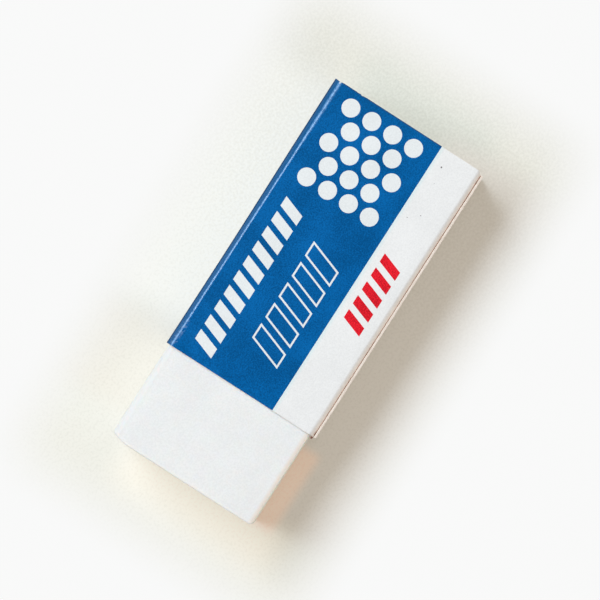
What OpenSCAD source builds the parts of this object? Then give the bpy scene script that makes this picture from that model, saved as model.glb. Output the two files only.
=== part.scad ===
// Block eraser in a folded card sleeve.
// X runs along the block towards its bare nose, Y across it towards the sleeve's glued seam, and Z up.
// The origin is the centre of the whole object's footprint, on the surface that it lies on.

/* [Block] */
// Length of the vinyl block
block_l = 43; // [36:0.5:60]
// Width of the vinyl block
block_w = 17.3; // [14:0.1:24]
// Thickness of the vinyl block
block_h = 11.7; // [9:0.1:14]
// Rounding of the four long edges
long_edge_r = 0.8; // [0.4:0.05:1.5]
// Rounding of the edges around the top and underside of each end
end_edge_r = 0.25; // [0.2:0.05:0.8]
// Rounding of the four upright corners
corner_r = 0.55; // [0.2:0.05:1.2]

/* [Sleeve] */
// Length of the card sleeve along the block
sleeve_l = 32.25; // [26:0.05:34]
// Thickness of the card
card_t = 0.25; // [0.2:0.01:0.32]
// Outside radius of the sleeve's folds
fold_r = 0.6; // [0.45:0.05:1]
// Room between the block and the card, on every side
slip = 0.12; // [0.04:0.01:0.2]
// Length of block that stands out of the sleeve
bare_l = 11.15; // [8:0.05:14]
// How far the outer panel's raw edge stays below the sleeve's top
seam_drop = 0.15; // [0.05:0.05:0.4]
// Height above the underside at which the inner glue flap ends
flap_end_z = 2.6; // [1.5:0.1:5]

/* [Print] */
// Thickness of the inked layer, let into the card's face
ink_t = 0.05; // [0.03:0.01:0.1]
// Width of the blue field on the top, from the sleeve's left side
blue_w = 12.97; // [11.5:0.01:15]

/* [Dots] */
// Diameter of the white dots
dot_d = 1.95; // [1:0.05:2.3]
// Number of dots in a full row across the sleeve
dot_columns = 4; // [2:1:4]
// Number of rows along the sleeve
dot_rows = 5; // [1:1:5]
// Distance between dots across the sleeve
dot_pitch = 2.55; // [2.4:0.05:2.8]
// Distance between rows along the sleeve
row_pitch = 2.1; // [2:0.05:2.3]
// Distance from the sleeve's far end to the centre of the first row
dot_start = 1.75; // [1.5:0.05:2.5]
// Distance from the edge of the blue field to the centre of the first dot
dot_inset = 2.35; // [1.5:0.05:2.5]

/* [Bars] */
// Width of a solid white bar along the sleeve
white_w = 1.15; // [0.6:0.05:1.5]
// Height of a solid white bar across the sleeve
white_h = 2.5; // [1.5:0.1:2.8]
// Distance between solid white bars
white_pitch = 1.8; // [1.7:0.05:1.9]
// Width of an outlined bar along the sleeve
outline_w = 1.75; // [1.2:0.05:2]
// Height of an outlined bar across the sleeve
outline_h = 3.9; // [2.5:0.1:4]
// Distance between outlined bars
outline_pitch = 2.5; // [2.4:0.05:2.6]
// Line width of the outlined bars
outline_t = 0.2; // [0.12:0.02:0.3]
// Number of red bars on the white band
red_count = 5; // [2:1:7]
// Width of a red bar along the sleeve
red_w = 1; // [0.6:0.05:1.2]
// Height of a red bar across the sleeve
red_h = 2.4; // [1.5:0.1:2.8]
// Distance between red bars
red_pitch = 1.7; // [1.6:0.05:1.9]
// How far a bar leans along the sleeve for each millimetre of its height
bar_lean = 0.35; // [0:0.05:0.5]
// Distance from the sleeve's near end to the nearest white bar
bars_end = 1.1; // [0.6:0.1:1.5]
// Least distance from the dots to the first white bar
dots_to_bars = 1.4; // [0.8:0.1:2]
// Distance from the sleeve's far end to the first red bar
red_start = 12.4; // [4:0.1:15]
// Distance from the edge of the blue field to the red bars
red_inset = 1; // [0.6:0.1:1.2]
// Distance from the edge of the blue field to the outlined bars
outline_inset = 1.9; // [1:0.1:2]
// Distance from the sleeve's left side to the solid white bars
white_inset = 2.3; // [1.2:0.1:2.4]

/* [Hidden] */
$fn = 96;
// Overshoot of a cutting shape past the face that it opens
over = 1;
// Room inside the sleeve, and the sleeve's size across
room_w = block_w + 2 * slip;
room_h = block_h + 2 * slip;
sleeve_w = room_w + 3 * card_t;
sleeve_h = room_h + 2 * card_t;
whole_l = sleeve_l + bare_l;
// The sleeve's ends, its left and right sides, and the outer face of the inner glue flap
far_x = -whole_l / 2;
near_x = far_x + sleeve_l;
nose_x = whole_l / 2;
left_y = -sleeve_w / 2;
right_y = sleeve_w / 2;
flap_y = right_y - card_t;
// The edge between the blue field and the white band
band_y = left_y + blue_w;
// The stretch that the white bars may fill, and how many bars fit it
run_x = far_x + dot_start + (dot_rows - 1) * row_pitch + dot_d / 2 + dots_to_bars;
run_l = near_x - bars_end - run_x;
white_count = floor((run_l - white_w - white_h * bar_lean) / white_pitch) + 1;
outline_count = floor(white_count / 2);
// The block's own corner nearest to the far end, the left side and the underside
block_x = nose_x - block_l;
block_y = left_y + card_t + slip;
block_z = card_t + slip;

// A rectangle between two corners with rounded corners, drawn from true arcs
module rounded_panel(x0, y0, x1, y1, r) {
    translate([x0 + r, y0]) square([x1 - x0 - 2 * r, y1 - y0]);
    translate([x0, y0 + r]) square([x1 - x0, y1 - y0 - 2 * r]);
    for (x = [x0 + r, x1 - r], y = [y0 + r, y1 - r]) translate([x, y]) circle(r);
}

// Turns an outline in Y and Z into a bar along X
module along_x(x0, length) {
    translate([x0, 0, 0]) rotate([90, 0, 90]) linear_extrude(length) children();
}

// A rectangular vinyl block: its section, its plan and its side view each round their own edges
module eraser_block() {
    color("#f1f3f4") intersection() {
        along_x(block_x, block_l)
            rounded_panel(block_y, block_z, block_y + block_w, block_z + block_h, long_edge_r);
        translate([0, 0, block_z - over]) linear_extrude(block_h + 2 * over)
            rounded_panel(block_x, block_y, block_x + block_l, block_y + block_w, corner_r);
        translate([0, block_y - over, 0]) rotate([90, 0, 0]) mirror([0, 0, 1])
            linear_extrude(block_w + 2 * over)
                rounded_panel(block_x, block_z, block_x + block_l, block_z + block_h, end_edge_r);
    }
}

// Outside of the folded card: the wrap down to the inner flap, and the outer panel glued onto the flap
module sleeve_outline() {
    rounded_panel(left_y, 0, flap_y, sleeve_h, fold_r);
    rounded_panel(left_y, 0, right_y, sleeve_h / 2, fold_r);
    translate([flap_y, sleeve_h / 4]) square([card_t, sleeve_h * 3 / 4 - seam_drop]);
}

// Inside of the folded card: full width below the inner flap's end, one card less above it
module sleeve_room() {
    room_r = fold_r - card_t;
    rounded_panel(left_y + card_t, card_t, flap_y - card_t, card_t + room_h, room_r);
    intersection() {
        rounded_panel(left_y + card_t, card_t, flap_y, card_t + room_h, room_r);
        translate([left_y, 0]) square([sleeve_w, flap_end_z]);
    }
}

// What lies outside the card's inked face on the left of the band's edge, with the white motifs left standing
module blue_region() {
    difference() {
        translate([far_x - over, left_y - over, -over])
            cube([sleeve_l + 2 * over, blue_w + over, sleeve_h + 2 * over]);
        along_x(far_x - 2 * over, sleeve_l + 4 * over)
            rounded_panel(left_y + ink_t, ink_t, flap_y, sleeve_h - ink_t, fold_r - ink_t);
        translate([0, 0, sleeve_h - 2 * ink_t]) linear_extrude(2 * over) white_motifs();
    }
}

// A bar that leans back along the sleeve, its foot's far corner at the origin
module leaning_bar(width, height) {
    lean = height * bar_lean;
    polygon([[0, 0], [width, 0], [width + lean, height], [lean, height]]);
}

// The line around a leaning bar
module outlined_bar(width, height, line) {
    lean = height * bar_lean;
    slant = line * sqrt(1 + bar_lean * bar_lean);
    inner_foot = line * bar_lean;
    difference() {
        leaning_bar(width, height);
        polygon([
            [inner_foot + slant, line],
            [width + inner_foot - slant, line],
            [width + lean - inner_foot - slant, height - line],
            [lean - inner_foot + slant, height - line]
        ]);
    }
}

// Staggered dots at the far end: each second row has one dot fewer and sits half a pitch across
module dot_field() {
    for (row = [0 : dot_rows - 1]) {
        odd = row % 2;
        for (column = [0 : dot_columns - 1 - odd])
            translate([
                far_x + dot_start + row * row_pitch,
                band_y - dot_inset - (column + odd / 2) * dot_pitch
            ]) circle(d = dot_d);
    }
}

// Everything that stays white inside the blue field
module white_motifs() {
    white_len = (white_count - 1) * white_pitch + white_w + white_h * bar_lean;
    outline_len = (outline_count - 1) * outline_pitch + outline_w + outline_h * bar_lean;
    dot_field();
    for (i = [0 : white_count - 1])
        translate([run_x + run_l - white_len + i * white_pitch, left_y + white_inset])
            leaning_bar(white_w, white_h);
    for (i = [0 : outline_count - 1])
        translate([run_x + (run_l - outline_len) / 2 + i * outline_pitch, band_y - outline_inset - outline_h])
            outlined_bar(outline_w, outline_h, outline_t);
}

// The red bars on the white band, thick enough to stand past the sleeve's top
module red_region() {
    translate([0, 0, sleeve_h - ink_t]) linear_extrude(over)
        for (i = [0 : red_count - 1])
            translate([far_x + red_start + i * red_pitch, band_y + red_inset])
                leaning_bar(red_w, red_h);
}

// One folded card, hollow along its length, with its inked areas let in
module card_sleeve() {
    color("#ebeded") difference() {
        along_x(far_x, sleeve_l) sleeve_outline();
        along_x(far_x - over, sleeve_l + 2 * over) sleeve_room();
        blue_region();
        red_region();
    }
}

// The blue ink, around the top, the left side and the underside
module blue_print() {
    color("#085e9e") intersection() {
        along_x(far_x, sleeve_l) sleeve_outline();
        blue_region();
    }
}

// The red ink on the white band
module red_print() {
    color("#df2433") intersection() {
        along_x(far_x, sleeve_l) sleeve_outline();
        red_region();
    }
}

eraser_block();
card_sleeve();
blue_print();
red_print();
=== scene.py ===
import math

import bmesh
import bpy
from mathutils import Matrix, Vector, noise


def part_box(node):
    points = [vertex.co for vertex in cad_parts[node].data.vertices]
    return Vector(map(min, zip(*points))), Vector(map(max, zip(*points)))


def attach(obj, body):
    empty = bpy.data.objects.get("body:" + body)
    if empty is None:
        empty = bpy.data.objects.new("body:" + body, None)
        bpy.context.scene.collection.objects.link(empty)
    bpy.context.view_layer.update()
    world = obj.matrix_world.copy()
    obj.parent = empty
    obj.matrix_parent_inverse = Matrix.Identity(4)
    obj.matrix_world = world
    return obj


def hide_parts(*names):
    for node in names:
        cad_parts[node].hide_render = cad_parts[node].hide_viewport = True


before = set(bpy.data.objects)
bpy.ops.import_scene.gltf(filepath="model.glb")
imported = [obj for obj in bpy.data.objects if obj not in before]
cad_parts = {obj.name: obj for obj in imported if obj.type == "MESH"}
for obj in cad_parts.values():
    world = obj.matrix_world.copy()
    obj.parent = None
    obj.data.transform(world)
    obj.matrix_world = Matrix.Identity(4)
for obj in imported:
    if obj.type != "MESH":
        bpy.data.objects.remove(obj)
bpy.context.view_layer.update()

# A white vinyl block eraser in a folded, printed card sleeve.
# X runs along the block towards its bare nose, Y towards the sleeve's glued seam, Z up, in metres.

# ---------------------------------------------------------------- sizes, from the frame and in millimetres

MM = 0.001
block_low, block_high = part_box("eraser_block")
block_middle, block_half = (block_low + block_high) / 2, (block_high - block_low) / 2
sleeve_low, sleeve_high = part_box("card_sleeve")
blue_low, blue_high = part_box("blue_print")
red_low, red_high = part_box("red_print")
far_x, near_x, nose_x = sleeve_low.x, sleeve_high.x, block_high.x
left_y, right_y = blue_low.y, sleeve_high.y
top_z = sleeve_high.z
band_y = blue_high.y

# The card and its folds
CARD = 0.25 * MM            # thickness of the card
LEFT_FOLD = 0.61 * MM       # how far the flat of the left folds cuts their corners
SEAM_FOLD = 0.5 * MM        # and that of the folds on the seam's side, across the top
SEAM_FALL = 0.33 * MM       # and down the side
CREASE = 0.12 * MM          # length of card that bends at each crease of a fold, to either side
INK = 0.004 * MM            # thickness of an ink film
GLUE_GAP = 0.012 * MM       # glue between the inner flap and the outer panel
SEAM_DROP = 0.15 * MM       # the outer panel's raw edge lies this far below the top
FLAP_END = 2.6 * MM         # height at which the inner glue flap ends
FLAP_Y = right_y - CARD - GLUE_GAP      # the inner flap's outer face
RIM = 0.02 * MM             # softening of the card's cut edges

# How the card has given way
BOW = 0.1 * MM              # the left side is bowed in by up to this
TAPER = 0.05 * MM           # the seam's side comes in by this at the far end
CUT_BACK = 0.31 * MM        # the outer panel and the flap's fold were cut this short at the far end
MOUTH_PRESS = 0.085 * MM    # the top is pressed down by this at the mouth
FOLD_IN = 0.04 * MM         # there the flap's fold draws in by this
FOLD_DOWN = 0.03 * MM       # and down by this
WANDER = 0.035 * MM         # the raw edge wanders by about this
CHIPS = 0.1 * MM            # depth of the crumbled stretch of the far edge
CORNER_CHIP = 0.07 * MM     # and of its crumbled corner
BEAD_PLACE = (near_x + 0.08 * MM, FLAP_Y - 0.14 * MM, top_z - 0.7 * MM)     # a dark bead at the mouth, painted shade for the crevice there
BEAD_SIZE = (0.23 * MM, 0.12 * MM, 0.4 * MM)    # and half its length, width and height

# The block
LONG_EDGE = 0.8 * MM        # rounding of its long edges on the left
SEAM_EDGE = 0.28 * MM       # and on the seam's side
END_EDGE = 0.25 * MM        # rounding of the edges around its ends
CORNER = 0.55 * MM          # rounding of its four upright corners
CROWN = 0.03 * MM           # how much the nose falls back towards its sides
WORN_CORNER = 0.3 * MM      # extra wear at the nose's left corner
LUMPS = 0.02 * MM           # how uneven the nose's faces are

# The print: dots at the far end, leaning bars towards the nose
DOT_R, DOT_ROWS, DOT_COLUMNS = 0.975 * MM, 5, 4
DOT_PITCH, ROW_PITCH = 2.55 * MM, 2.1 * MM
DOT_START, DOT_INSET, DOT_SIDES = 1.75 * MM, 2.35 * MM, 32
DOTS_TO_BARS, BARS_END = 1.4 * MM, 1.1 * MM
WHITE_W, WHITE_H, WHITE_PITCH, WHITE_INSET = 1.15 * MM, 2.5 * MM, 1.8 * MM, 2.3 * MM
OUTLINE_W, OUTLINE_H, OUTLINE_PITCH = 1.75 * MM, 3.9 * MM, 2.5 * MM
OUTLINE_INSET, OUTLINE_T = 1.9 * MM, 0.2 * MM
RED_W, RED_H, RED_PITCH, RED_COUNT = 1.0 * MM, 2.4 * MM, 1.7 * MM, 5
LEAN = 0.35

# Small marks, each given by X, Y and its radius
SPECKS = [
    (far_x + 1.84 * MM, band_y + 1.11 * MM, 0.085 * MM),
    (far_x + 7.17 * MM, band_y + 2.0 * MM, 0.05 * MM),
    (far_x + 8.06 * MM, band_y + 0.92 * MM, 0.045 * MM),
    (far_x + 3.64 * MM, band_y + 1.38 * MM, 0.03 * MM),
]
BLUE_CHIPS = [(far_x + 0.16 * MM, left_y + LEFT_FOLD, 0.1 * MM)]

# ---------------------------------------------------------------- colours

BLACK = (0, 0, 0, 1)
# the white card, and painted warm light for its seam-side fold
WHITE_CARD, SEAM_FOLD_WARM_LIGHT = (0.883, 0.877, 0.875, 1), (0.935, 0.873, 0.795, 1)
BESIDE_INK, IN_FIELD = (0.87, 0.985, 1.0, 1), (0.935, 0.968, 0.982, 1)     # both multiply the white card
SPECK = (0.1, 0.08, 0.08, 1)
RAW_PALE, RAW_DEEP = (0.893, 0.786, 0.704, 1), (0.79, 0.677, 0.587, 1)
# painted shade: warm in the seam's groove, and dark for the bead at the mouth
GROOVE_SHADE, MOUTH_SHADE_BEAD = (0.54, 0.298, 0.213, 1), (0.25, 0.1, 0.075, 1)
# the blue ink, and painted shade for its fold's flat and its cut far end
BLUE, BLUE_FOLD_SHADE, BLUE_CUT_END_SHADE = (0.0002, 0.1105, 0.349, 1), (0.0008, 0.09, 0.26, 1), (0.02, 0.07, 0.17, 1)
# the crease line's colour is worn ink and partly a painted highlight; the scuff and the chip are wear
RUBBED_LINE_AND_HIGHLIGHT, SCUFFED, CHIPPED = (0.205, 0.438, 0.772, 1), (0.3, 0.42, 0.62, 1), (0.66, 0.7, 0.74, 1)
RED = (0.76, 0.014, 0.027, 1)
# the vinyl, and painted warm light for its top edges on the seam's side and at the nose
VINYL, SEAM_SIDE_WARM_LIGHT = (0.876, 0.874, 0.871, 1), (0.83, 0.735, 0.655, 1)
FRONT_RIM_LIGHT, SEAM_RIM_LIGHT = (0.99, 0.95, 0.91, 1), (0.99, 0.94, 0.81, 1)
FLOOR, FLOOR_SEEN = (0.86, 0.865, 0.835, 1), (0.626, 0.624, 0.622, 1)
FLOOR_LIFT, FAR_FLOOR = (0.264, 0.248, 0.173, 1), (0.94, 0.943, 0.94, 1)
WORLD_PLAIN, WORLD_GLOW = (0.48, 0.44, 0.42, 1), (0.66, 0.6, 0.56, 1)

# ---------------------------------------------------------------- camera

FRAME_W = 61.6 * MM         # width of the view at the sleeve's top
LENS, SENSOR = 250.0, 36.0  # both in millimetres, as the camera counts them
ROLL = math.radians(122.755)
AIM_X, AIM_Y = 0.374 * MM, 0.414 * MM   # the view's middle lies this far right of the object's, and above it


def overhead_camera():
    """A long lens straight above the object, turned so that the nose points down and left."""
    data = bpy.data.cameras.new("camera")
    data.lens, data.sensor_width = LENS, SENSOR
    camera = bpy.data.objects.new("camera", data)
    bpy.context.scene.collection.objects.link(camera)
    right = Vector((math.cos(ROLL), math.sin(ROLL), 0))
    up = Vector((-math.sin(ROLL), math.cos(ROLL), 0))
    height = top_z + FRAME_W * LENS / SENSOR
    camera.location = right * AIM_X + up * AIM_Y + Vector((0, 0, height))
    camera.rotation_euler = (0, 0, ROLL)
    data.clip_start, data.clip_end = 0.01, 10
    bpy.context.scene.camera = camera


# ---------------------------------------------------------------- mesh tools

SHARP = math.radians(38)        # shading breaks at edges that turn more than this
CUT_EDGE = math.radians(60)     # only the card's cut edges turn more than this
HAIR = 1e-8                     # points closer than this to a cut are on it


def slice_across(bm, axis, places):
    """Cuts a mesh along flat planes at these places on one axis, so that it can bend there."""
    normal = Vector((axis == "x", axis == "y", axis == "z"))
    for place in places:
        everything = bm.verts[:] + bm.edges[:] + bm.faces[:]
        bmesh.ops.bisect_plane(bm, geom=everything, dist=HAIR, plane_co=normal * place, plane_no=normal)


def evenly(low, high, step):
    """Places between low and high, about a step apart and without the ends."""
    count = max(1, round((high - low) / step))
    return [low + (high - low) * i / count for i in range(1, count)]


def creased(corners):
    """Each inner corner becomes two creases with a narrow flat between them, as a scored fold has."""
    places = [Vector((y, z)) for y, z, _, _ in corners]
    cuts = [(before, after) for _, _, before, after in corners[1:]]
    run = [places[0]]
    for last, corner, following, (cut_before, cut_after) in zip(places, places[1:], places[2:], cuts):
        run.append(corner + (last - corner).normalized() * cut_before)
        run.append(corner + (following - corner).normalized() * cut_after)
    return run + [places[-1]]


def folded_strip(corners, x0, x1):
    """A strip of card folded round these corners: their Y and Z, and how far the fold cuts either side."""
    bm = bmesh.new()
    chain = [bm.verts.new((x0, y, z)) for y, z in creased(corners)]
    lines = [bm.edges.new(pair) for pair in zip(chain, chain[1:])]
    swept = bmesh.ops.extrude_edge_only(bm, edges=lines)["geom"]
    far_side = [item for item in swept if isinstance(item, bmesh.types.BMVert)]
    bmesh.ops.translate(bm, verts=far_side, vec=(x1 - x0, 0, 0))
    folds = [edge for edge in bm.edges if edge.is_manifold]
    bmesh.ops.bevel(bm, geom=folds, affect="EDGES", offset=CREASE, segments=4, profile=0.5, material=-1)
    bmesh.ops.recalc_face_normals(bm, faces=bm.faces[:])
    if max(bm.faces, key=lambda face: face.calc_center_median().z).normal.z < 0:
        bmesh.ops.reverse_faces(bm, faces=bm.faces[:])
    return bm


def thicken(bm, thickness):
    """Gives a sheet its thickness on its inner side and returns the faces that this adds."""
    outer = set(bm.faces)
    bmesh.ops.solidify(bm, geom=bm.faces[:], thickness=thickness)
    return [face for face in bm.faces if face not in outer]


def soften(bm, edges, width, segments):
    """Rounds these edges and returns the faces that this adds."""
    rounded = bmesh.ops.bevel(
        bm, geom=edges, affect="EDGES", offset=width, segments=segments, profile=0.5, material=-1
    )
    return rounded["faces"]


def mark_sharp(bm):
    """Smooth shading everywhere but across the sharp edges."""
    for face in bm.faces:
        face.smooth = True
    for edge in bm.edges:
        edge.smooth = not (edge.is_manifold and edge.calc_face_angle() > SHARP)


def make_piece(name, bm, materials, body, slot, *replaced):
    """Turns a bmesh into a piece that rides on a body and stands for CAD nodes."""
    mesh = bpy.data.meshes.new(name)
    bm.to_mesh(mesh)
    bm.free()
    for material in materials:
        mesh.materials.append(material)
    piece = bpy.data.objects.new(name, mesh)
    bpy.context.scene.collection.objects.link(piece)
    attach(piece, body)
    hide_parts(*replaced)


def ease(value, low, high):
    """0 below low, 1 above high, and a smooth step between them."""
    share = min(1, max(0, (value - low) / (high - low)))
    return share * share * (3 - 2 * share)


# ---------------------------------------------------------------- node tools


def connect(tree, made, inputs):
    """Links or sets a node's inputs."""
    for name, value in inputs.items():
        if isinstance(value, bpy.types.NodeSocket):
            tree.links.new(value, made.inputs[name])
        else:
            made.inputs[name].default_value = value


def node(tree, kind, settings=None, inputs=None):
    """Adds a node and sets its properties and its inputs."""
    made = tree.nodes.new(kind)
    for name, value in (settings or {}).items():
        setattr(made, name, value)
    connect(tree, made, inputs or {})
    return made


def maths(tree, operation, *values):
    return node(tree, "ShaderNodeMath", {"operation": operation}, dict(enumerate(values))).outputs[0]


def plus(tree, first, second):
    return maths(tree, "ADD", first, second)


def minus(tree, first, second):
    return maths(tree, "SUBTRACT", first, second)


def times(tree, first, second):
    return maths(tree, "MULTIPLY", first, second)


def weighed(tree, first, second, share):
    """This share of the first value, and the rest from the second."""
    return plus(tree, times(tree, first, share), times(tree, second, 1 - share))


def smooth_step(tree, value, low, high, start=0.0, end=1.0):
    """A value that eases from start to end while the input runs from low to high."""
    inputs = {"Value": value, "From Min": low, "From Max": high, "To Min": start, "To Max": end}
    return node(tree, "ShaderNodeMapRange", {"interpolation_type": "SMOOTHSTEP"}, inputs).outputs[0]


def window(tree, value, low, high, border):
    """1 between low and high, easing to 0 over a border on either side."""
    rise = smooth_step(tree, value, low - border, low)
    return times(tree, rise, smooth_step(tree, value, high + border, high))


def axes(tree, position):
    """The X, Y and Z of a position."""
    return node(tree, "ShaderNodeSeparateXYZ", None, {0: position}).outputs


def stretched(tree, position, factors):
    """A position whose X, Y and Z are multiplied by these factors, to draw a pattern out along an axis."""
    return node(tree, "ShaderNodeVectorMath", {"operation": "MULTIPLY"}, {0: position, 1: factors}).outputs[0]


def noise_field(tree, position, scale, detail=2.0, roughness=0.5):
    inputs = {"Vector": position, "Scale": scale, "Detail": detail, "Roughness": roughness}
    return node(tree, "ShaderNodeTexNoise", None, inputs).outputs["Fac"]


def blend(tree, factor, first, second, kind="MIX"):
    """Mixes two colours, as far as the factor says."""
    inputs = {0: factor, 6: first, 7: second}
    return node(tree, "ShaderNodeMix", {"data_type": "RGBA", "blend_type": kind}, inputs).outputs[2]


def tint(tree, factor, colour, dye):
    """Multiplies a colour by a dye, as far as the factor says."""
    return blend(tree, factor, colour, dye, "MULTIPLY")


def shade(colour, factor):
    """A colour made lighter or darker."""
    return tuple(channel * factor for channel in colour[:3]) + (1.0,)


def new_group(name, inputs, outputs):
    """A shader node group with named sockets, its input node and its output node."""
    tree = bpy.data.node_groups.new(name, "ShaderNodeTree")
    for label, kind, value in inputs:
        socket = tree.interface.new_socket(label, in_out="INPUT", socket_type=kind)
        if value is not None:
            socket.default_value = value
    for label, kind in outputs:
        tree.interface.new_socket(label, in_out="OUTPUT", socket_type=kind)
    return tree, tree.nodes.new("NodeGroupInput").outputs, tree.nodes.new("NodeGroupOutput").inputs


def use_group(tree, group, position, values):
    """Places a group in a material and gives it the piece's coordinates and these values."""
    return node(tree, "ShaderNodeGroup", {"node_tree": group}, {"Position": position, **values}).outputs


# ---------------------------------------------------------------- effects that several materials share

NUMBER, VECTOR = "NodeSocketFloat", "NodeSocketVector"


def coated_surface_group():
    """The faint unevenness of coated card: a mottle in its tone, and fibres that lie under the coat."""
    tree, given, out = new_group(
        "coated_surface",
        [("Position", VECTOR, None), ("Mottle Size", NUMBER, 0.4 * MM), ("Fibre Size", NUMBER, 0.2 * MM)],
        [("Tone", NUMBER), ("Height", NUMBER)],
    )
    position = given["Position"]
    mottle = noise_field(tree, position, maths(tree, "DIVIDE", 1.0, given["Mottle Size"]), 3.0, 0.6)
    cloud = noise_field(tree, position, 260.0, 2.0)
    along_fibres = stretched(tree, position, (0.35, 1.0, 1.0))
    fibre_scale = maths(tree, "DIVIDE", 1.0, given["Fibre Size"])
    fibres = noise_field(tree, along_fibres, fibre_scale, 3.0, 0.55)
    waves = noise_field(tree, position, 180.0, 1.0)
    tree.links.new(weighed(tree, mottle, cloud, 0.7), out["Tone"])
    tree.links.new(weighed(tree, fibres, waves, 0.25), out["Height"])
    return tree


def fold_rub_and_highlight_group():
    """Where a fold along X is rubbed: a broken line on the crease, worn ink and partly a painted highlight,
    and a wider scuff near the mouth.
    """
    tree, given, out = new_group(
        "fold_rub_and_highlight",
        [
            ("Position", VECTOR, None),
            ("Fold Y", NUMBER, 0.0),
            ("Fold Z", NUMBER, 0.0),
            ("Line Width", NUMBER, 0.1 * MM),
            ("Far X", NUMBER, 0.0),
            ("Scuff Width", NUMBER, 0.4 * MM),
            ("Scuff Start", NUMBER, 0.0),
            ("Scuff End", NUMBER, 0.0),
        ],
        [("Line", NUMBER), ("Scuff", NUMBER)],
    )
    position = given["Position"]
    x, y, z = axes(tree, position)
    across = maths(tree, "POWER", minus(tree, y, given["Fold Y"]), 2.0)
    above = maths(tree, "POWER", minus(tree, z, given["Fold Z"]), 2.0)
    distance = maths(tree, "SQRT", plus(tree, across, above))

    from_far = minus(tree, x, given["Far X"])
    spread = smooth_step(tree, from_far, 2 * MM, 11 * MM, 1.9, 1.0)
    width = times(tree, given["Line Width"], spread)
    drift = minus(tree, noise_field(tree, position, 3200.0, 3.0, 0.65), 0.5)
    ragged = plus(tree, distance, times(tree, drift, width))
    crease = smooth_step(tree, maths(tree, "DIVIDE", ragged, width), 0.1, 1.3, 1.0, 0.0)
    breaks = smooth_step(tree, noise_field(tree, position, 2600.0, 4.0, 0.75), 0.34, 0.6, 0.25, 1.0)
    strength = times(tree, breaks, smooth_step(tree, from_far, 2 * MM, 11 * MM, 0.85, 1.0))
    tree.links.new(times(tree, crease, strength), out["Line"])

    middle = times(tree, plus(tree, given["Scuff Start"], given["Scuff End"]), 0.5)
    half = times(tree, minus(tree, given["Scuff End"], given["Scuff Start"]), 0.5)
    off = maths(tree, "DIVIDE", maths(tree, "ABSOLUTE", minus(tree, x, middle)), half)
    along = smooth_step(tree, off, 0.5, 1.0, 1.0, 0.0)
    beside = smooth_step(tree, maths(tree, "DIVIDE", distance, given["Scuff Width"]), 0.2, 1.0, 1.0, 0.0)
    crumbs = smooth_step(tree, noise_field(tree, position, 3800.0, 5.0, 0.7), 0.47, 0.58)
    tree.links.new(times(tree, times(tree, along, beside), crumbs), out["Scuff"])
    return tree


def seam_groove_shade_group():
    """Painted warm shade in the seam's groove: it starts a little below the raw edge, close to the flap's
    outer face.
    """
    tree, given, out = new_group(
        "seam_groove_shade",
        [
            ("Position", VECTOR, None),
            ("Flap Y", NUMBER, 0.0),
            ("Top Z", NUMBER, 0.0),
            ("Reach", NUMBER, 0.1 * MM),
            ("Far X", NUMBER, 0.0),
            ("Near X", NUMBER, 10 * MM),
        ],
        [("Mask", NUMBER)],
    )
    position = given["Position"]
    x, y, z = axes(tree, position)
    drift = minus(tree, noise_field(tree, position, 1500.0, 3.0, 0.6), 0.5)
    depth = plus(tree, minus(tree, given["Top Z"], z), times(tree, drift, 0.12 * MM))
    under = smooth_step(tree, depth, 0.24 * MM, 0.34 * MM)
    off = maths(tree, "ABSOLUTE", minus(tree, y, given["Flap Y"]))
    close = maths(tree, "LESS_THAN", off, given["Reach"])
    from_far = minus(tree, x, given["Far X"])
    past_far_end = smooth_step(tree, from_far, 0.33 * MM, 0.5 * MM)
    before_mouth = smooth_step(tree, minus(tree, given["Near X"], x), 0.0, 0.3 * MM)
    thick = smooth_step(tree, from_far, 3 * MM, 7 * MM, 1.0, 0.7)
    amount = times(tree, times(tree, past_far_end, before_mouth), thick)
    tree.links.new(times(tree, times(tree, under, close), amount), out["Mask"])
    return tree


coated_surface = coated_surface_group()
fold_rub_and_highlight = fold_rub_and_highlight_group()
seam_groove_shade = seam_groove_shade_group()

# ---------------------------------------------------------------- materials

# Where painted warm shade lies in the seam's groove, and where the left fold is rubbed and carries a painted
# highlight
SEAM = {"Flap Y": FLAP_Y, "Top Z": top_z, "Reach": 0.15 * MM, "Far X": far_x, "Near X": near_x}
LEFT_RUB_AND_HIGHLIGHT = {
    "Fold Y": left_y + LEFT_FOLD,
    "Fold Z": top_z,
    "Line Width": 0.13 * MM,
    "Far X": far_x,
    "Scuff Width": 0.5 * MM,
    "Scuff Start": near_x - 3.6 * MM,
    "Scuff End": near_x + 0.4 * MM,
}


def new_material(name):
    """A material with its tree, its Principled shader and the piece's own coordinates."""
    material = bpy.data.materials.new(name)
    material.use_nodes = True
    tree = material.node_tree
    position = node(tree, "ShaderNodeTexCoord").outputs["Object"]
    return material, tree, tree.nodes["Principled BSDF"], position


def add_bump(tree, shader, height, distance):
    """Shades the surface as if it rose by this distance where the height is 1."""
    bump = node(tree, "ShaderNodeBump", None, {"Height": height, "Distance": distance, "Strength": 1.0})
    tree.links.new(bump.outputs[0], shader.inputs["Normal"])


def marks_at(tree, position, places):
    """A mask of small round marks on the sleeve's top, each given by X, Y and its radius."""
    mask = 0.0
    for x, y, radius in places:
        ends = {0: position, 1: (x, y, top_z)}
        distance = node(tree, "ShaderNodeVectorMath", {"operation": "DISTANCE"}, ends).outputs["Value"]
        mark = smooth_step(tree, distance, 0.6 * radius, 1.3 * radius, 1.0, 0.0)
        mask = maths(tree, "MAXIMUM", mask, mark)
    return mask


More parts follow.
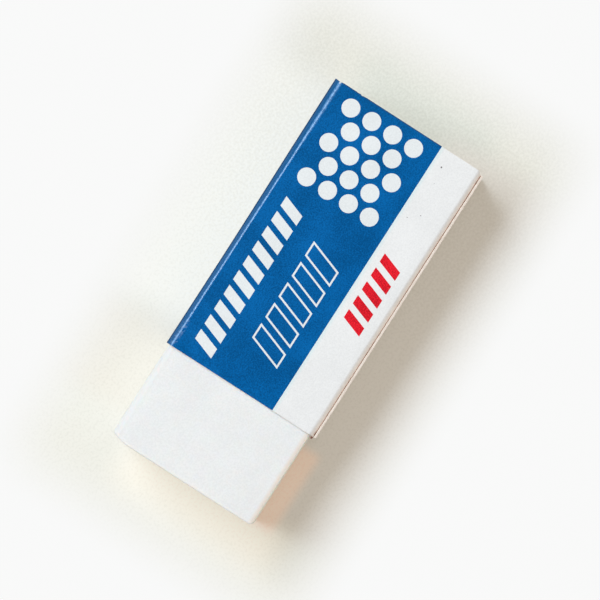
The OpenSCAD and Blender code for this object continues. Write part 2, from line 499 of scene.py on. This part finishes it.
def white_card_material():
    """The sleeve's unprinted face: bright coated card with a few specks, painted warm light on its seam-side
    fold, and painted warm shade in its seam's groove.
    """
    material, tree, shader, position = new_material("white_coated_card")
    _, y, z = axes(tree, position)
    surface = use_group(tree, coated_surface, position, {"Mottle Size": 0.16 * MM})
    mottle = smooth_step(tree, surface["Tone"], 0.3, 0.7)
    colour = blend(tree, mottle, shade(WHITE_CARD, 0.93), shade(WHITE_CARD, 1.035))

    beside_ink = window(tree, y, band_y, band_y + 0.08 * MM, 0.4 * MM)
    colour = tint(tree, beside_ink, colour, BESIDE_INK)
    in_field = smooth_step(tree, y, band_y, band_y - 0.4 * MM)
    colour = tint(tree, in_field, colour, IN_FIELD)

    # painted warm light on the seam-side fold, near the top
    at_side = smooth_step(tree, y, FLAP_Y - 1.2 * SEAM_FOLD, FLAP_Y - 0.4 * SEAM_FOLD)
    near_top = smooth_step(tree, z, top_z - 1.8 * MM, top_z - 0.8 * MM)
    colour = blend(tree, times(tree, at_side, near_top), colour, SEAM_FOLD_WARM_LIGHT)
    colour = blend(tree, marks_at(tree, position, SPECKS), colour, SPECK)
    # painted warm shade in the seam's groove
    colour = blend(tree, use_group(tree, seam_groove_shade, position, SEAM)["Mask"], colour, GROOVE_SHADE)

    roughness = smooth_step(tree, surface["Tone"], 0.2, 0.8, 0.36, 0.5)
    connect(tree, shader, {"Base Color": colour, "Roughness": roughness})
    add_bump(tree, shader, surface["Height"], 0.02 * MM)
    return material


def raw_card_material():
    """Cut edges and the inside: uncoated, warmer, with the board's layers showing, painted warm shade in the
    seam's groove, and the dark bead's painted shade.
    """
    material, tree, shader, position = new_material("raw_card")
    fibres = noise_field(tree, stretched(tree, position, (0.3, 1, 1)), 6500.0, 4.0, 0.65)
    patches = noise_field(tree, position, 420.0, 2.0)
    layers = smooth_step(tree, weighed(tree, fibres, patches, 0.6), 0.35, 0.65)
    colour = blend(tree, layers, RAW_DEEP, RAW_PALE)
    # painted warm shade in the seam's groove
    colour = blend(tree, use_group(tree, seam_groove_shade, position, SEAM)["Mask"], colour, GROOVE_SHADE)
    # painted shade: past the mouth, the dark bead stands in for a shaded crevice
    past_mouth = smooth_step(tree, axes(tree, position)["X"], near_x + 0.01 * MM, near_x + 0.04 * MM)
    colour = blend(tree, past_mouth, colour, MOUTH_SHADE_BEAD)
    connect(tree, shader, {"Base Color": colour, "Roughness": 0.9})
    add_bump(tree, shader, fibres, 0.03 * MM)
    return material


def blue_wear_and_shade(tree, position, face, roughness):
    """The blue ink: rubbed and scuffed along its left fold with a painted highlight on the crease, painted
    shade on the fold, and painted shade at its cut far end.
    """
    x, y, z = axes(tree, position)
    rub_and_highlight = use_group(tree, fold_rub_and_highlight, position, LEFT_RUB_AND_HIGHLIGHT)
    # painted shade on the flat of the left fold
    on_flat = smooth_step(tree, y, left_y + LEFT_FOLD, left_y + 0.8 * LEFT_FOLD)
    face = blend(tree, on_flat, face, BLUE_FOLD_SHADE)
    # the crease line: worn ink and partly a painted highlight
    face = blend(tree, times(tree, rub_and_highlight["Line"], 0.9), face, RUBBED_LINE_AND_HIGHLIGHT)
    face = blend(tree, times(tree, rub_and_highlight["Scuff"], 0.4), face, SCUFFED)

    # painted shade down the fold's outer curve, towards the silhouette
    below_flat = smooth_step(tree, z, top_z - 0.4 * MM, top_z - 0.56 * MM)
    above_side = smooth_step(tree, z, top_z - 1.2 * MM, top_z - 0.8 * MM)
    fold_side_shade = times(tree, below_flat, above_side)
    face = blend(tree, times(tree, fold_side_shade, 0.75), face, shade(BLUE, 0.25))
    # painted shade along the cut far end
    cut_end_shade = smooth_step(tree, x, far_x + 0.07 * MM, far_x + 0.17 * MM, 0.65, 0.0)
    face = blend(tree, cut_end_shade, face, BLUE_CUT_END_SHADE)
    face = blend(tree, marks_at(tree, position, BLUE_CHIPS), face, CHIPPED)

    roughness = plus(tree, roughness, times(tree, rub_and_highlight["Scuff"], 0.4))
    roughness = plus(tree, roughness, times(tree, fold_side_shade, 0.6))
    return face, roughness


def ink_material(name, colour, add_wear_and_shade=None):
    """A printed film on coated card, with a fine grain in its colour."""
    material, tree, shader, position = new_material(name)
    surface = use_group(tree, coated_surface, position, {"Mottle Size": 0.14 * MM})
    grain = smooth_step(tree, surface["Tone"], 0.35, 0.65)
    face = blend(tree, grain, shade(colour, 0.68), shade(colour, 1.3))
    roughness = smooth_step(tree, surface["Tone"], 0.2, 0.8, 0.16, 0.24)
    if add_wear_and_shade:
        face, roughness = add_wear_and_shade(tree, position, face, roughness)
    connect(tree, shader, {"Base Color": face, "Roughness": roughness, "Specular IOR Level": 0.3})
    add_bump(tree, shader, surface["Height"], 0.008 * MM)
    return material


def vinyl_material():
    """Soft white vinyl with a satin skin. Its left side carries painted shade and its other top edges painted
    warm light.
    """
    material, tree, shader, position = new_material("white_vinyl")
    x, y, z = axes(tree, position)
    cloud = noise_field(tree, position, 210.0, 3.0, 0.55)
    grain = noise_field(tree, position, 5200.0, 2.0)
    mottle = smooth_step(tree, weighed(tree, cloud, grain, 0.35), 0.3, 0.7)
    colour = blend(tree, mottle, shade(VINYL, 0.945), shade(VINYL, 1.03))
    # painted shade on the left rounded side, which faces the key lamp
    left_side_shade = smooth_step(tree, y, block_low.y + 1.2 * MM, block_low.y)
    colour = blend(tree, left_side_shade, colour, shade(VINYL, 0.85))

    # painted warm light along the top edges on the seam's side and at the nose
    at_top = smooth_step(tree, z, block_high.z - 0.5 * MM, block_high.z - 0.2 * MM)
    near_seam_side = smooth_step(tree, y, block_high.y - 0.75 * MM, block_high.y - 0.25 * MM)
    seam_edge = smooth_step(tree, y, block_high.y - 0.25 * MM, block_high.y - 0.08 * MM)
    front_edge = smooth_step(tree, x, nose_x - 0.35 * MM, nose_x - 0.1 * MM)
    for place, painted_light in ((near_seam_side, SEAM_SIDE_WARM_LIGHT), (front_edge, FRONT_RIM_LIGHT), (seam_edge, SEAM_RIM_LIGHT)):
        colour = blend(tree, times(tree, place, at_top), colour, painted_light)

    connect(tree, shader, {
        "Base Color": colour,
        "Roughness": smooth_step(tree, cloud, 0.3, 0.7, 0.5, 0.62),
        "Specular IOR Level": 0.3,
        "Subsurface Weight": 0.5,
        "Subsurface Radius": (1.0, 0.75, 0.6),
        "Subsurface Scale": 0.8 * MM,
    })
    add_bump(tree, shader, weighed(tree, cloud, grain, 0.8), 0.03 * MM)
    return material


white_card = white_card_material()
raw_card = raw_card_material()
blue_ink = ink_material("blue_ink", BLUE, blue_wear_and_shade)
red_ink = ink_material("red_ink", RED)
vinyl = vinyl_material()

# ---------------------------------------------------------------- the card sleeve

RAW = 1                     # the raw card's place among the sleeve's materials
LENGTH_CUTS = evenly(far_x, near_x, 1.2 * MM)
END_CUTS = [far_x + 0.4 * MM] + evenly(near_x - 1.5 * MM, near_x, 0.25 * MM)
FIELD_CUTS = (
    evenly(left_y + LEFT_FOLD, band_y, 0.8 * MM)
    + evenly(left_y + 0.6 * MM, left_y + 2.0 * MM, 0.1 * MM)
    + evenly(left_y + 2.0 * MM, left_y + 3.6 * MM, 0.1 * MM)
)
BAND_CUTS = [band_y] + evenly(band_y, right_y, 0.8 * MM)
HEIGHT_CUTS = evenly(0, top_z, 1.5 * MM)


def trimmed_edge(vert):
    """The outer panel's raw edge wanders a little along its length."""
    wander = noise.noise(Vector((vert.co.x / (3.5 * MM), 0.3, 0.7)))
    vert.co.z -= WANDER * (0.5 + wander)


def draw_in_at_mouth(vert):
    """The flap's fold draws in from the outer panel at the sleeve's mouth, where the glue ends."""
    depth = top_z - vert.co.z
    near_mouth = ease(vert.co.x, near_x - 1.1 * MM, near_x)
    at_fold = ease(vert.co.y, right_y - 1.1 * MM, right_y - 0.3 * MM) * ease(depth, 4 * MM, 1 * MM)
    vert.co.y -= FOLD_IN * near_mouth * at_fold
    vert.co.z -= FOLD_DOWN * near_mouth * at_fold * ease(depth, 1 * MM, 0)


def press_mouth(vert):
    """The top's free edge at the mouth lies close down on the block."""
    clear_of_left = ease(vert.co.y, left_y + 0.8 * MM, left_y + 3 * MM)
    clear_of_right = ease(vert.co.y, right_y - 0.9 * MM, right_y - 3 * MM)
    between = clear_of_left * clear_of_right
    if vert.co.z > top_z / 2:
        vert.co.z -= MOUTH_PRESS * between * ease(vert.co.x, near_x - 1.8 * MM, near_x)


def taper(vert):
    """The seam's side comes in a little towards the far end."""
    share = (near_x - vert.co.x) / (near_x - far_x)
    vert.co.y -= TAPER * share ** 2 * ease(vert.co.y, FLAP_Y - 1.5 * MM, FLAP_Y - SEAM_FOLD)


def cut_back(vert):
    """At the far end the outer panel and the flap's fold were cut back a little."""
    at_fold = ease(vert.co.y, FLAP_Y - 1.2 * SEAM_FOLD, FLAP_Y - 0.4 * SEAM_FOLD)
    above_floor = ease(vert.co.z, 0.8 * MM, 4 * MM)
    vert.co.x += CUT_BACK * at_fold * above_floor * ease(vert.co.x, far_x + 2.4 * MM, far_x)


def bow_in(vert):
    """The left side is pressed in a little along its middle, up to the creases of its folds."""
    along = (vert.co.x - far_x) / (near_x - far_x)
    dip = ease(along, 0.1, 0.65) * (1 - 0.35 * ease(along, 0.7, 1.05))
    vert.co.y += BOW * dip * ease(vert.co.y, left_y + LEFT_FOLD, left_y + 0.1 * MM)


def chip_far_edge(vert):
    """A short ragged stretch of the cut far edge, and its corner at the left fold, have crumbled."""
    at_edge = ease(vert.co.x, far_x + 0.4 * MM, far_x) * ease(vert.co.z, top_z - 0.5 * MM, top_z)
    from_left = vert.co.y - left_y
    stretch = ease(from_left, 2.0 * MM, 2.3 * MM) * ease(from_left, 3.6 * MM, 3.3 * MM)
    ragged = max(0, 0.45 + noise.noise(Vector((from_left / (0.16 * MM), 2.6, 0.4))))
    corner = ease(from_left, 0.95 * MM, 0.7 * MM) * ease(from_left, 0.2 * MM, 0.5 * MM)
    vert.co.x += at_edge * (CHIPS * stretch * ragged + CORNER_CHIP * corner)


def mouth_shade_bead(bm):
    """A small dark bead at the mouth, standing in for the shaded crevice there: painted shade."""
    place = Matrix.Translation(BEAD_PLACE) @ Matrix.Diagonal((*BEAD_SIZE, 1))
    bead = bmesh.ops.create_icosphere(bm, subdivisions=3, radius=1, matrix=place)
    for face in {face for vert in bead["verts"] for face in vert.link_faces}:
        face.material_index = RAW


def card_sleeve():
    """One card round the block: inner flap, top, left side, underside and the panel over the flap."""
    low_y, high_y, high_z = left_y + INK, right_y - INK, top_z - INK
    corners = [
        (FLAP_Y, FLAP_END, 0, 0),
        (FLAP_Y, high_z, SEAM_FALL, SEAM_FOLD),
        (low_y, high_z, LEFT_FOLD, LEFT_FOLD),
        (low_y, INK, LEFT_FOLD, LEFT_FOLD),
        (high_y, INK, SEAM_FOLD, SEAM_FALL),
        (high_y, top_z - SEAM_DROP, 0, 0),
    ]
    bm = folded_strip(corners, far_x, near_x)
    slice_across(bm, "x", LENGTH_CUTS + END_CUTS)
    slice_across(bm, "y", FIELD_CUTS + BAND_CUTS)
    slice_across(bm, "z", HEIGHT_CUTS + [top_z - 0.9 * MM])
    for vert in bm.verts:
        if vert.co.y > high_y - INK and vert.co.z > top_z - SEAM_DROP - INK:
            trimmed_edge(vert)
    for vert in bm.verts:
        if vert.co.y < FLAP_Y + INK:
            draw_in_at_mouth(vert)
        for give_way in (press_mouth, taper, cut_back, bow_in, chip_far_edge):
            give_way(vert)
    for face in thicken(bm, CARD - INK):
        face.material_index = RAW
    cut_edges = [edge for edge in bm.edges if edge.is_manifold and edge.calc_face_angle() > CUT_EDGE]
    for face in soften(bm, cut_edges, RIM, 2):
        face.material_index = RAW
    for vert in bm.verts:
        vert.co.z = min(max(vert.co.z, INK), high_z)
    mouth_shade_bead(bm)
    mark_sharp(bm)
    make_piece("folded_card", bm, [white_card, raw_card], "sleeve", "white_card", "card_sleeve")


# ---------------------------------------------------------------- the print

PLAIN, STAMPED = 0, 1       # the marks that tell the faces inside a stamped outline from the rest


def leaning_bar(x, y, width, height, grow=0.0):
    """The corners of a leaning bar with its foot at x, y, grown by a line all round, or made smaller."""
    lean = height * LEAN
    slant = grow * math.hypot(1, LEAN)
    shift = grow * LEAN
    return [
        (x - slant - shift, y - grow),
        (x + width + slant - shift, y - grow),
        (x + width + lean + slant + shift, y + height + grow),
        (x + lean - slant + shift, y + height + grow),
    ]


def disc(x, y, radius):
    """The outline of a dot."""
    turns = [2 * math.pi * i / DOT_SIDES for i in range(DOT_SIDES)]
    return [(x + radius * math.cos(turn), y + radius * math.sin(turn)) for turn in turns]


def top_faces_under(bm, outline):
    """The flat top faces whose rectangle overlaps that of an outline."""
    xs, ys = zip(*outline)
    found = []
    for face in bm.faces:
        face_xs, face_ys, face_zs = zip(*(vert.co for vert in face.verts))
        beside = max(face_xs) <= min(xs) or min(face_xs) >= max(xs)
        beyond = max(face_ys) <= min(ys) or min(face_ys) >= max(ys)
        if not (beside or beyond) and face.normal.z > 0.999 and face_zs[0] > top_z - INK:
            found.append(face)
    return found


def stamp(bm, outline, mark):
    """Cuts a convex outline into the flat top faces and gives the ones inside it this mark."""
    layer = bm.faces.layers.int.get("stamped") or bm.faces.layers.int.new("stamped")
    inside = top_faces_under(bm, outline)
    for here, there in zip(outline, outline[1:] + outline[:1]):
        out = Vector((there[1] - here[1], here[0] - there[0], 0)).normalized()
        corner = Vector((*here, 0))
        around = {item for face in inside for item in (*face.verts, *face.edges)}
        cut = bmesh.ops.bisect_plane(bm, geom=[*inside, *around], dist=HAIR, plane_co=corner, plane_no=out)
        pieces = [item for item in cut["geom"] if isinstance(item, bmesh.types.BMFace)]
        inside = [face for face in pieces if (face.calc_center_median() - corner).dot(out) < 0]
    for face in inside:
        face[layer] = mark


def remove_marked(bm, mark):
    """Takes out the faces that have this mark."""
    layer = bm.faces.layers.int["stamped"]
    marked = [face for face in bm.faces if face[layer] == mark]
    bmesh.ops.delete(bm, geom=marked, context="FACES")


def stamp_dots(bm):
    """Rows of dots from the far end on, each second row half a step over and one dot shorter."""
    for row in range(DOT_ROWS):
        odd = row % 2
        for column in range(DOT_COLUMNS - odd):
            x = far_x + DOT_START + row * ROW_PITCH
            across = DOT_INSET + (column + odd / 2) * DOT_PITCH
            stamp(bm, disc(x, band_y - across, DOT_R), STAMPED)


def stamp_bars(bm):
    """A row of solid bars and a row of outlined ones, which share the stretch from the dots to the mouth."""
    start = far_x + DOT_START + (DOT_ROWS - 1) * ROW_PITCH + DOT_R + DOTS_TO_BARS
    length = near_x - BARS_END - start
    count = math.floor((length - WHITE_W - WHITE_H * LEAN) / WHITE_PITCH) + 1
    white_length = (count - 1) * WHITE_PITCH + WHITE_W + WHITE_H * LEAN
    for i in range(count):
        x = start + length - white_length + i * WHITE_PITCH
        stamp(bm, leaning_bar(x, left_y + WHITE_INSET, WHITE_W, WHITE_H), STAMPED)
    outlines = count // 2
    outline_length = (outlines - 1) * OUTLINE_PITCH + OUTLINE_W + OUTLINE_H * LEAN
    for i in range(outlines):
        x = start + (length - outline_length) / 2 + i * OUTLINE_PITCH
        y = band_y - OUTLINE_INSET - OUTLINE_H
        stamp(bm, leaning_bar(x, y, OUTLINE_W, OUTLINE_H), STAMPED)
        stamp(bm, leaning_bar(x, y, OUTLINE_W, OUTLINE_H, -OUTLINE_T), PLAIN)


def blue_print():
    """The blue film round the top, the left side and the underside, open where the card stays white."""
    fold = (LEFT_FOLD, LEFT_FOLD)
    corners = [(band_y, top_z, 0, 0), (left_y, top_z, *fold), (left_y, 0, *fold), (band_y, 0, 0, 0)]
    bm = folded_strip(corners, far_x, near_x - RIM)
    slice_across(bm, "x", LENGTH_CUTS + END_CUTS)
    slice_across(bm, "y", FIELD_CUTS)
    slice_across(bm, "z", HEIGHT_CUTS)
    stamp_dots(bm)
    stamp_bars(bm)
    remove_marked(bm, STAMPED)
    for vert in bm.verts:
        for give_way in (press_mouth, bow_in, chip_far_edge):
            give_way(vert)
    thicken(bm, INK)
    mark_sharp(bm)
    make_piece("blue_film", bm, [blue_ink], "sleeve", "blue_ink", "blue_print")


def red_print():
    """The red bars on the white band: what is left of a sheet of ink once all round them is gone."""
    bm = bmesh.new()
    bmesh.ops.create_grid(bm, x_segments=1, y_segments=1, size=0.5)
    size, middle = red_high - red_low, (red_low + red_high) / 2
    bmesh.ops.scale(bm, verts=bm.verts, vec=(size.x, size.y, 1))
    bmesh.ops.translate(bm, verts=bm.verts, vec=(middle.x, middle.y, top_z))
    bm.normal_update()
    for i in range(RED_COUNT):
        stamp(bm, leaning_bar(red_low.x + i * RED_PITCH, red_low.y, RED_W, RED_H), STAMPED)
    remove_marked(bm, PLAIN)
    thicken(bm, INK)
    mark_sharp(bm)
    make_piece("red_film", bm, [red_ink], "sleeve", "red_ink", "red_print")


# ---------------------------------------------------------------- the vinyl block


def round_corner(vert):
    """Brings a point that lies outside the rounding of an upright corner back onto it."""
    side_x = math.copysign(1, vert.co.x - block_middle.x)
    side_y = math.copysign(1, vert.co.y - block_middle.y)
    out_x = (vert.co.x - block_middle.x) * side_x - (block_half.x - CORNER)
    out_y = (vert.co.y - block_middle.y) * side_y - (block_half.y - CORNER)
    reach = math.hypot(out_x, out_y)
    if out_x > 0 and out_y > 0 and reach > CORNER:
        vert.co.x -= side_x * out_x * (1 - CORNER / reach)
        vert.co.y -= side_y * out_y * (1 - CORNER / reach)


def wear_block(vert):
    """The nose falls back to its sides and its left corner is worn, and the faces are not quite flat."""
    across = (vert.co.y - block_middle.y) / block_half.y
    at_nose = ease(vert.co.x, nose_x - 5 * MM, nose_x)
    fall = CROWN * across ** 4
    fall += WORN_CORNER * ease(across, -0.8, -1.0)
    vert.co.x -= fall * at_nose
    lump = noise.noise(vert.co / (4.5 * MM)) - 0.6
    inward = (block_middle - vert.co).normalized()
    vert.co -= inward * LUMPS * lump * at_nose


def long_edges(bm, side):
    """The block's sharp edges along X on one side: -1 for the left and 1 for the seam's."""
    along = [edge for edge in bm.edges if abs(edge.verts[0].co.x - edge.verts[1].co.x) > block_half.x]
    return [edge for edge in along if edge.calc_face_angle() > 1 and edge.verts[0].co.y * side > 0]


def block_cuts(low, high, step):
    """Places for cuts across the block: close together at its corners, and a step apart between."""
    first = evenly(low + END_EDGE, low + 1.4 * CORNER, 0.09 * MM)
    last = evenly(high - 1.4 * CORNER, high - END_EDGE, 0.09 * MM)
    return first + last + evenly(low + LONG_EDGE, high - LONG_EDGE, step)


def vinyl_block():
    """One block with rounded edges, cut into a fine grid so that it can be worn."""
    bm = bmesh.new()
    bmesh.ops.create_cube(bm, size=1)
    bmesh.ops.scale(bm, verts=bm.verts, vec=block_high - block_low)
    bmesh.ops.translate(bm, verts=bm.verts, vec=block_middle)
    soften(bm, long_edges(bm, -1), LONG_EDGE, 8)
    soften(bm, long_edges(bm, 1), SEAM_EDGE, 8)
    end_edges = [edge for edge in bm.edges if len({round(face.normal.x) for face in edge.link_faces}) == 2]
    soften(bm, end_edges, END_EDGE, 6)
    slice_across(bm, "x", block_cuts(block_low.x, block_high.x, 1.0 * MM))
    slice_across(bm, "y", block_cuts(block_low.y, block_high.y, 0.9 * MM))
    slice_across(bm, "z", evenly(block_low.z + LONG_EDGE, block_high.z - LONG_EDGE, 0.9 * MM))
    for vert in bm.verts:
        round_corner(vert)
        wear_block(vert)
    for face in bm.faces:
        face.smooth = True
    make_piece("vinyl_block", bm, [vinyl], "block", "vinyl", "eraser_block")


# ---------------------------------------------------------------- floor, lights and world

# Painted light and shade on the floor, where it looks lighter or darker: from, to and border along X, the
# same along Y, and its lift
FLOOR_TONES = [
    # painted shade
    (   # round the sleeve's far end
        (far_x - 1.5 * MM, far_x + 3 * MM, 7 * MM),
        (-5 * MM, 6 * MM, 5 * MM),
        (0.174, 0.187, 0.119, 1),
    ),
    # painted light
    (   # along the sleeve's left side
        (far_x + 3 * MM, near_x - 5 * MM, 5 * MM),
        (left_y - 4 * MM, left_y + 4 * MM, 10 * MM),
        (0.368, 0.351, 0.276, 1),
    ),
    # painted shade, a little
    (   # on the left of the bare block
        (near_x + 1 * MM, nose_x - 4 * MM, 4 * MM),
        (left_y - 6 * MM, left_y, 5 * MM),
        (0.25, 0.21, 0.12, 1),
    ),
    # painted warm light
    (   # before the nose
        (nose_x - 3 * MM, nose_x + 1.5 * MM, 6 * MM),
        (-4 * MM, 10 * MM, 5 * MM),
        (0.39, 0.337, 0.227, 1),
    ),
    # painted warm light in the shadow
    (   # along the seam's side
        (far_x, nose_x - 3 * MM, 4 * MM),
        (right_y - 2 * MM, right_y + 5 * MM, 6 * MM),
        (0.269, 0.233, 0.169, 1),
    ),
    # painted warm light
    (   # a soft warm tone on the right of the bare block
        (near_x + 2.5 * MM, nose_x - 0.5 * MM, 1.5 * MM),
        (7 * MM, 10.1 * MM, 1.5 * MM),
        (0.398, 0.261, 0.155, 1),
    ),
]
MARGIN, BORDER = 3 * MM, 9 * MM     # the floor's tones end this far from the object, over this border


def floor_material():
    """A plain pale desk paper. Seen directly it is lifted a little, as by light from all round the room, and
    it carries painted light and shade near the object.
    """
    material, tree, shader, position = new_material("pale_floor")
    x, y, _ = axes(tree, position)
    seen = node(tree, "ShaderNodeLightPath").outputs["Is Camera Ray"]
    grain = smooth_step(tree, noise_field(tree, position, 3600.0, 3.0), 0.3, 0.7, 0.92, 1.06)
    # painted shade: the floor darkens towards the sleeve's far end
    brightness = times(tree, grain, smooth_step(tree, x, 0.25 * near_x, 1.1 * far_x, 1.0, 0.9))
    lift = FLOOR_LIFT
    for along, across, colour in FLOOR_TONES:
        lift = blend(tree, times(tree, window(tree, x, *along), window(tree, y, *across)), lift, colour)

    near_along = window(tree, x, far_x - MARGIN, nose_x + MARGIN, BORDER)
    near_across = window(tree, y, left_y - MARGIN, right_y + MARGIN, BORDER)
    near = times(tree, near_along, near_across)
    paper = blend(tree, near, blend(tree, seen, FLOOR, BLACK), blend(tree, seen, FLOOR, FLOOR_SEEN))
    lift = blend(tree, near, FAR_FLOOR, lift)
    connect(tree, shader, {
        "Base Color": blend(tree, brightness, BLACK, paper),
        "Roughness": 0.9,
        "Specular IOR Level": 0.2,
        "Emission Color": blend(tree, seen, BLACK, lift),
        "Emission Strength": 1.0,
    })
    return material


def pale_floor():
    """A wide flat sheet under the object, which is staging and no part of it."""
    bm = bmesh.new()
    bmesh.ops.create_grid(bm, x_segments=1, y_segments=1, size=3)
    mesh = bpy.data.meshes.new("floor")
    bm.to_mesh(mesh)
    bm.free()
    mesh.materials.append(floor_material())
    floor = bpy.data.objects.new("floor", mesh)
    bpy.context.scene.collection.objects.link(floor)


def soft_lamp(name, bearing, zenith, distance, size, power, colour):
    """A square lamp that faces the object from a bearing and an angle off the vertical, in degrees."""
    data = bpy.data.lights.new(name, "AREA")
    data.shape, data.size, data.energy, data.color = "SQUARE", size, power, colour
    turn, tilt = math.radians(bearing), math.radians(zenith)
    way = Vector((math.cos(turn) * math.sin(tilt), math.sin(turn) * math.sin(tilt), math.cos(tilt)))
    lamp = bpy.data.objects.new(name, data)
    lamp.location = way * distance
    lamp.rotation_euler = way.to_track_quat("Z", "Y").to_euler()
    bpy.context.scene.collection.objects.link(lamp)


def studio_world():
    """Plain light all round, dim beside the key and overhead, and a low soft glow on the seam's side."""
    world = bpy.data.worlds.new("studio")
    bpy.context.scene.world = world
    world.use_nodes = True
    tree = world.node_tree
    _, y, z = axes(tree, node(tree, "ShaderNodeTexCoord").outputs["Generated"])
    beside_key = smooth_step(tree, maths(tree, "ABSOLUTE", y), 0.1, 0.8, 1.0, 0.3)
    overhead = smooth_step(tree, z, 0.86, 0.98, 1.0, 0.08)
    plain = blend(tree, times(tree, beside_key, overhead), BLACK, WORLD_PLAIN)
    seam_side = smooth_step(tree, y, 0.15, 0.8)
    low = smooth_step(tree, z, 0.35, 0.8, 1.0, 0.0)
    glow = blend(tree, times(tree, seam_side, low), plain, WORLD_GLOW)
    connect(tree, tree.nodes["Background"], {"Color": glow})


overhead_camera()
pale_floor()
studio_world()
soft_lamp("key", bearing=-96, zenith=34, distance=0.6, size=0.36, power=3.45, colour=(0.9, 0.97, 1.0))
bpy.context.scene.view_settings.view_transform = "Standard"

vinyl_block()
card_sleeve()
blue_print()
red_print()
